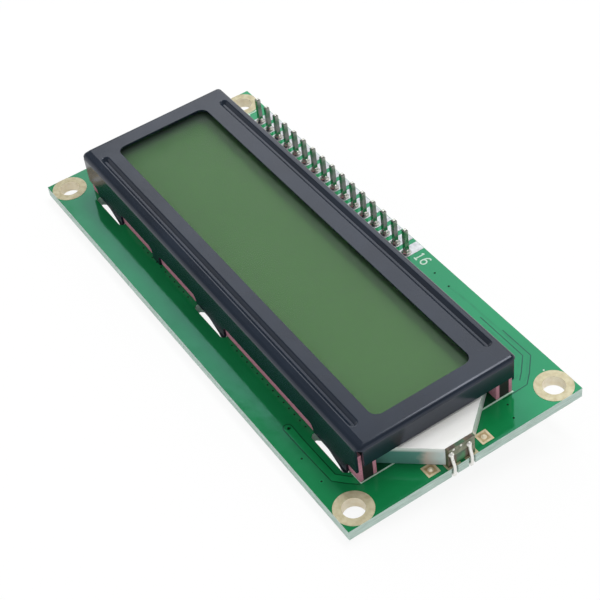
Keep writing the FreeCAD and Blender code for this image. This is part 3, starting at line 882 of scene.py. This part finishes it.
class MODULE_OT_board(bpy.types.Operator):
    """Dress the circuit board: mask, sawn edges, plated holes, tracks, vias and print"""

    bl_idname = "module.board"
    bl_label = "Circuit board"
    bl_options = {"REGISTER", "UNDO"}

    def execute(self, context):
        smooth_copy("circuit_board", "board_laminate",
                    [material(green_solder_mask), material(glass_epoxy)],
                    sided=True)
        for number in range(1, 5):
            smooth_copy("hole_plating_%d" % number, "plated_hole_%d" % number,
                        [material(gilt_copper), material(gilt_barrel)],
                        sided=True)
        self.tracks()
        self.prints()
        return {"FINISHED"}

    def tracks(self):
        """Tracks, the gaps beside them and vias, all showing through the mask, and painted
        shade under the bezel's end.
        """
        thick = sizes().trace_height
        for name, paths, maker, width, lift in (
                ("front_tracks", TRACKS, masked_copper, sizes().trace_width, LEVEL),
                ("front_wide_track", WIDE_TRACK, masked_copper, 1.0, SUNK),
                ("front_gaps", GAPS, gap_and_shade_lacquer, 0.16, LEVEL),
                # Painted shade under the bezel's end, drawn in the gap lacquer
                ("front_painted_shade", SHADE_UNDER_BEZEL_END, gap_and_shade_lacquer, 2.5, SUNK)):
            lines = [[(x, y, lift) for x, y in path] for path in paths]
            grown(name, paths_mesh(name, lines), ribbon_tree(material(maker)),
                  "green_board", Width=width, Height=thick)
        for name, places, maker, width, lift in (
                ("front_vias", VIAS, masked_copper, sizes().via_width, SUNK),
                ("via_holes", VIAS, plugged_via, 0.3, LEVEL + STEP_UP),
                ("row_vias", VIA_ROW, plugged_via, 0.26, LEVEL)):
            grown(name, paths_mesh(name, [[(x, y, lift)] for x, y in places]),
                  disc_tree(material(maker)), "green_board", Radius=width / 2, Height=thick)

    def prints(self):
        """White print: the bezel's outline, and the numbers of the first and last pins."""
        ink = material(white_ink)
        thick = sizes().print_height
        z = thick / 2
        paths = [[(x, y, z) for x, y in path] for path in OUTLINE]
        for strokes, corner in ((ONE, (7.62, 15.72)), (SIX, (8.74, 15.76)),
                                (ONE, (-35.0, 15.0))):
            paths += printed_digits(strokes, corner, z)
        grown("white_print", paths_mesh("white_print", paths), ribbon_tree(ink),
              "green_board", Width=sizes().print_width, Height=thick)
        grown("print_dot", paths_mesh("print_dot", [[DOT + (z,)]]), disc_tree(ink),
              "green_board", Radius=0.13, Height=thick)


class MODULE_OT_bezel(bpy.types.Operator):
    """Dress the bezel in satin black paint with smooth folds"""

    bl_idname = "module.bezel"
    bl_label = "Bezel"
    bl_options = {"REGISTER", "UNDO"}

    def execute(self, context):
        smooth_copy("bezel", "painted_bezel", [material(satin_black_paint)],
                    angle=28.0, reshape=self.lean, flats_from=0.35)
        return {"FINISHED"}

    def lean(self, shape):
        """Let the top's near band lean outwards a little, as pressing leaves it."""
        hinge, top = -11.65 * MM, 6.0 * MM
        slope = math.tan(math.radians(8.0))
        bmesh.ops.bisect_plane(shape, geom=shape.verts[:] + shape.edges[:] + shape.faces[:],
                               plane_co=(0, hinge, 0), plane_no=(0, 1, 0))
        for point in shape.verts:
            if point.co.y < hinge and point.co.z > top:
                point.co.z -= (hinge - point.co.y) * slope


class MODULE_OT_cell(bpy.types.Operator):
    """Dress the glass cell: polarisers, glass, seal and fluid"""

    bl_idname = "module.cell"
    bl_label = "Glass cell"
    bl_options = {"REGISTER", "UNDO"}

    def execute(self, context):
        """Two see-through layers over green: more would use up a ray's passes."""
        repaint(["front_polariser"], anti_glare_polariser)
        repaint(["front_glass"], float_glass)
        repaint(["liquid_crystal", "cell_seal", "rear_glass", "rear_polariser"],
                rear_reflector_film)
        return {"FINISHED"}


class MODULE_OT_connectors(bpy.types.Operator):
    """Dress the striped rubber connectors and the fingers that they press on"""

    bl_idname = "module.connectors"
    bl_label = "Connector strips"
    bl_options = {"REGISTER", "UNDO"}

    def execute(self, context):
        for side in ("near", "far"):
            repaint([side + "_zebra_outer_foam", side + "_zebra_inner_foam"],
                    pink_silicone_foam)
            repaint([side + "_zebra_core"], carbon_silicone)
            repaint([side + "_contact_fingers"], gilt_copper)
        return {"FINISHED"}


class MODULE_OT_lamp(bpy.types.Operator):
    """Dress the light guide, its films, the lamp, its carrier, wires and pads"""

    bl_idname = "module.lamp"
    bl_label = "Lamp and guide"
    bl_options = {"REGISTER", "UNDO"}

    def execute(self, context):
        repaint(["light_guide"], clear_acrylic)
        repaint(["diffuser_film", "reflector_film"], white_diffuser)
        repaint(["lamp_emitter"], moulded_white_resin)
        repaint(["lamp_carrier"], carrier_laminate)
        for name in ("backlight_pad_1", "backlight_pad_2"):
            repaint([name], gilt_pad, name)
        self.leads()
        self.carrier_pads()
        return {"FINISHED"}

    def leads(self):
        """Round wires in place of the plain ones, and the solder at both their ends."""
        bright = material(bright_wire)
        tree = wire_tree(bright)
        radius = sizes().lead_width / 2
        bend, clearance = 0.45, 0.005
        face = box_of("lamp_carrier")[1].x
        x = face + radius + clearance
        for number in (1, 2):
            low, high = box_of("lamp_lead_%d" % number)
            top_y = low.y + radius
            foot_y = high.y - radius
            back = low.z + radius
            # Down the carrier's face, past the board's edge and under it
            path = [(x, top_y, high.z - 0.15), (x, top_y, 2.1), (x, top_y + 0.03, 1.7),
                    (x, (top_y * 2 + foot_y) / 3, 1.2), (x, (top_y + foot_y * 2) / 3, 0.6),
                    (x, foot_y - 0.02, 0.1), (x, foot_y, -0.5), (x, foot_y, -1.2)]
            path += [(x - bend + bend * math.cos(a), foot_y, back + bend - bend * math.sin(a))
                     for a in (math.pi / 2 * i / 6 for i in range(7))]
            path.append((low.x + 0.05, foot_y, back))
            piece = grown("lamp_wire_%d" % number, paths_mesh("wire", [path]), tree,
                          "tinned_wire", smooth=True, Radius=radius)
            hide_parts("lamp_lead_%d" % number)
            front = lathe_at("lamp_joint_%d" % number, FRONT_DOT,
                             [(face, top_y, high.z - 0.35)], bright,
                             turn=(90, "Y"))
            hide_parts("lamp_solder_%d" % number)
            solder = box_of("lamp_solder_%d" % number)[0]
            lathe_at("lamp_rear_joint_%d" % number, REAR_HEAP,
                     [(solder.x + REAR_HEAP[0][0], foot_y, BOARD_LOW.z)],
                     material(tinned_metal), turn=(180, "X"))

    def carrier_pads(self):
        """Tinned pads on the carrier's outer face, and lands at the board's edge."""
        low, high = box_of("lamp_carrier")
        inner, outer = high.x - 0.01, high.x + 0.025
        plates("carrier_band", [
            (inner, outer, low.y + 0.12, high.y - 0.06, 1.8, high.z - 0.04),
            (inner, outer, high.y - 0.55, high.y - 0.06, 0.7, 1.7),
        ], material(stained_tin))
        lathe_at("carrier_specks", SPECK, [(high.x, -2.1, high.z - 0.28),
                                           (high.x, -0.99, high.z - 0.3)],
                 material(bright_wire), turn=(90, "Y"), steps=12)
        plates("edge_lands", [
            (high.x - 0.9, BOARD_HIGH.x - 0.02, y - 1.0, y + 1.0, 0.0, 0.03)
            for y in (-2.2, 0.5)
        ], material(gilt_copper))


class MODULE_OT_header(bpy.types.Operator):
    """Dress the pin header: pins, strip, pads and solder fillets"""

    bl_idname = "module.header"
    bl_label = "Pin header"
    bl_options = {"REGISTER", "UNDO"}

    def execute(self, context):
        repaint(PINS, plated_pin)
        repaint(["header_strip"], moulded_black_nylon)
        repaint(["header_pads"], levelled_tin)
        places = [(middle_of(name).x, middle_of(name).y, 0.0) for name in PINS]
        fillets = lathe_at("solder_fillets", FILLET, places, material(tinned_metal))
        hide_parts("header_solder")
        return {"FINISHED"}


class MODULE_OT_back(bpy.types.Operator):
    """Dress what the back of the board carries"""

    bl_idname = "module.back"
    bl_label = "Back of the board"
    bl_options = {"REGISTER", "UNDO"}

    def execute(self, context):
        """Make the resin domes, each a cap of a ball, and paint the small chips."""
        levels = 12
        for name in ("controller", "driver"):
            low, high = box_of(name + "_blob")
            radius = (high.x - low.x) / 2
            depth = high.z - low.z
            ball = (radius ** 2 + depth ** 2) / (2 * depth)
            rim = math.asin(radius / ball)
            profile = []
            for angle in (rim * (1 - i / levels) for i in range(levels + 1)):
                profile.append((max(0.05, ball * math.sin(angle)),
                                ball * (math.cos(angle) - math.cos(rim))))
            dome = lathe_at(name + "_resin", profile,
                            [((low.x + high.x) / 2, (low.y + high.y) / 2, high.z)],
                            material(black_potting_resin), turn=(180, "X"),
                            steps=64)
            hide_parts(name + "_blob")
        repaint(["chip_resistors"], chip_body, "fired_black_ceramic", "#16171A", "#2A2C30")
        repaint(["chip_capacitors"], chip_body, "fired_tan_ceramic", "#8E6F4E", "#A8895F")
        return {"FINISHED"}


# The stage

# Each softbox: its turn and rise in degrees, its shape, its sides in metres and its watts
SOFTBOXES = {"softbox_behind": (143, 37, "ELLIPSE", (0.645, 0.575), 1.65),
             "softbox_above": (100, 66, "RECTANGLE", (0.6, 0.25), 3.6)}
# The room's strength as light, and in reflections near the horizon and higher up
ROOM_LIGHT, ROOM_LOW, ROOM_HIGH = 0.67, 0.95, 0.3
# The photograph's camera: its sensor and lens in millimetres, its place in metres and its
# turn in degrees
SENSOR, LENS = 36.0, 88.07
CAMERA_PLACE = (0.12935, -0.06683, 0.14268)
CAMERA_TURN = (44.3898, 5.7821, 56.4364)


class MODULE_OT_stage(bpy.types.Operator):
    """Build the pale floor, the soft studio lights and the camera"""

    bl_idname = "module.stage"
    bl_label = "Stage"
    bl_options = {"REGISTER", "UNDO"}

    def execute(self, context):
        self.floor()
        self.world()
        for name, settings in SOFTBOXES.items():
            self.light(name, *settings)
        self.camera()
        return {"FINISHED"}

    def floor(self):
        """A wide pale floor, tipped as the module tips when it rests on pins and tabs."""
        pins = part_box("header_pin_01")[0]
        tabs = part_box("bezel")[0]
        tilt = math.atan2(tabs.z - pins.z, pins.y - tabs.y)
        half = 3.0
        mesh = bpy.data.meshes.new("studio_floor")
        mesh.from_pydata([(-half, -half, 0), (half, -half, 0), (half, half, 0),
                          (-half, half, 0)], [], [(0, 1, 2, 3)])
        mesh.transform(Matrix.Translation((0, pins.y, pins.z))
                       @ Matrix.Rotation(-tilt, 4, "X"))
        mesh.materials.append(material(pale_studio_floor))
        placed("studio_floor", mesh)

    def world(self):
        """A pale room: white to the eye and in reflections, softer as light."""
        world = bpy.data.worlds.new("pale_room")
        bpy.context.scene.world = world
        world.use_nodes = True
        tree = world.node_tree
        tree.nodes.clear()
        near_horizon, higher_up = 0.25, 0.5
        place = add(tree, "ShaderNodeTexCoord")
        axes = add(tree, "ShaderNodeSeparateXYZ", {"Vector": place.outputs["Generated"]})
        height = add(tree, "ShaderNodeMapRange", {
            "Value": axes.outputs["Z"], "From Min": near_horizon, "From Max": higher_up,
            "To Min": ROOM_LOW, "To Max": ROOM_HIGH})
        glossy = add(tree, "ShaderNodeMix", {
            "Factor": seen_by(tree, "Is Glossy Ray"), "A": ROOM_LIGHT,
            "B": height.outputs["Result"]}, data_type="FLOAT")
        level = add(tree, "ShaderNodeMix", {
            "Factor": seen_by(tree, "Is Camera Ray", "Is Transmission Ray"),
            "A": glossy.outputs["Result"], "B": 1.0}, data_type="FLOAT")
        back = add(tree, "ShaderNodeBackground", {
            "Color": (1, 1, 1, 1), "Strength": level.outputs["Result"]})
        end = add(tree, "ShaderNodeOutputWorld")
        tree.links.new(back.outputs[0], end.inputs["Surface"])

    def light(self, name, turn, rise, shape, size, watts):
        """A softbox a metre off that faces the module, at a turn and a rise in degrees."""
        turn, rise = math.radians(turn), math.radians(rise)
        place = (math.cos(rise) * math.cos(turn), math.cos(rise) * math.sin(turn),
                 math.sin(rise))
        lamp = bpy.data.lights.new(name, "AREA")
        lamp.shape = shape
        lamp.size, lamp.size_y = size
        lamp.energy = watts
        made = placed(name, lamp)
        made.location = place
        made.rotation_euler = (-Vector(place)).to_track_quat("-Z", "Y").to_euler()

    def camera(self):
        """The photograph's view: a long lens, a little rolled."""
        data = bpy.data.cameras.new("photo_view")
        data.sensor_width = SENSOR
        data.lens = LENS
        data.clip_start = 0.01
        data.clip_end = 20.0
        view = placed("photo_view", data)
        view.location = CAMERA_PLACE
        view.rotation_euler = [math.radians(a) for a in CAMERA_TURN]
        bpy.context.scene.camera = view
        bpy.context.scene.view_settings.view_transform = "Standard"


class MODULE_PT_steps(bpy.types.Panel):
    """The module's steps and sizes, in the sidebar"""

    bl_label = "Display module"
    bl_idname = "MODULE_PT_steps"
    bl_space_type = "VIEW_3D"
    bl_region_type = "UI"
    bl_category = "Display module"

    def draw(self, context):
        """List the steps, then the sizes and colours."""
        for step in STEPS:
            self.layout.operator(step.bl_idname, text=step.bl_label)
        for group in (context.scene.module_sizes, context.scene.module_colours):
            for name in group.__annotations__:
                self.layout.prop(group, name)


STEPS = (MODULE_OT_board, MODULE_OT_bezel, MODULE_OT_cell, MODULE_OT_connectors,
         MODULE_OT_lamp, MODULE_OT_header, MODULE_OT_back, MODULE_OT_stage)
CLASSES = (ModuleSizes, ModuleColours) + STEPS + (MODULE_PT_steps,)


def register():
    """Register the classes and hang the settings on the scene."""
    for made in CLASSES:
        bpy.utils.register_class(made)
    bpy.types.Scene.module_sizes = bpy.props.PointerProperty(type=ModuleSizes)
    bpy.types.Scene.module_colours = bpy.props.PointerProperty(type=ModuleColours)


def unregister():
    """Undo register."""
    del bpy.types.Scene.module_colours
    del bpy.types.Scene.module_sizes
    for made in reversed(CLASSES):
        bpy.utils.unregister_class(made)


def main():
    """Run every step."""
    register()
    bpy.ops.module.board()
    bpy.ops.module.bezel()
    bpy.ops.module.cell()
    bpy.ops.module.connectors()
    bpy.ops.module.lamp()
    bpy.ops.module.header()
    bpy.ops.module.back()
    bpy.ops.module.stage()


if __name__ == "__main__":
    main()
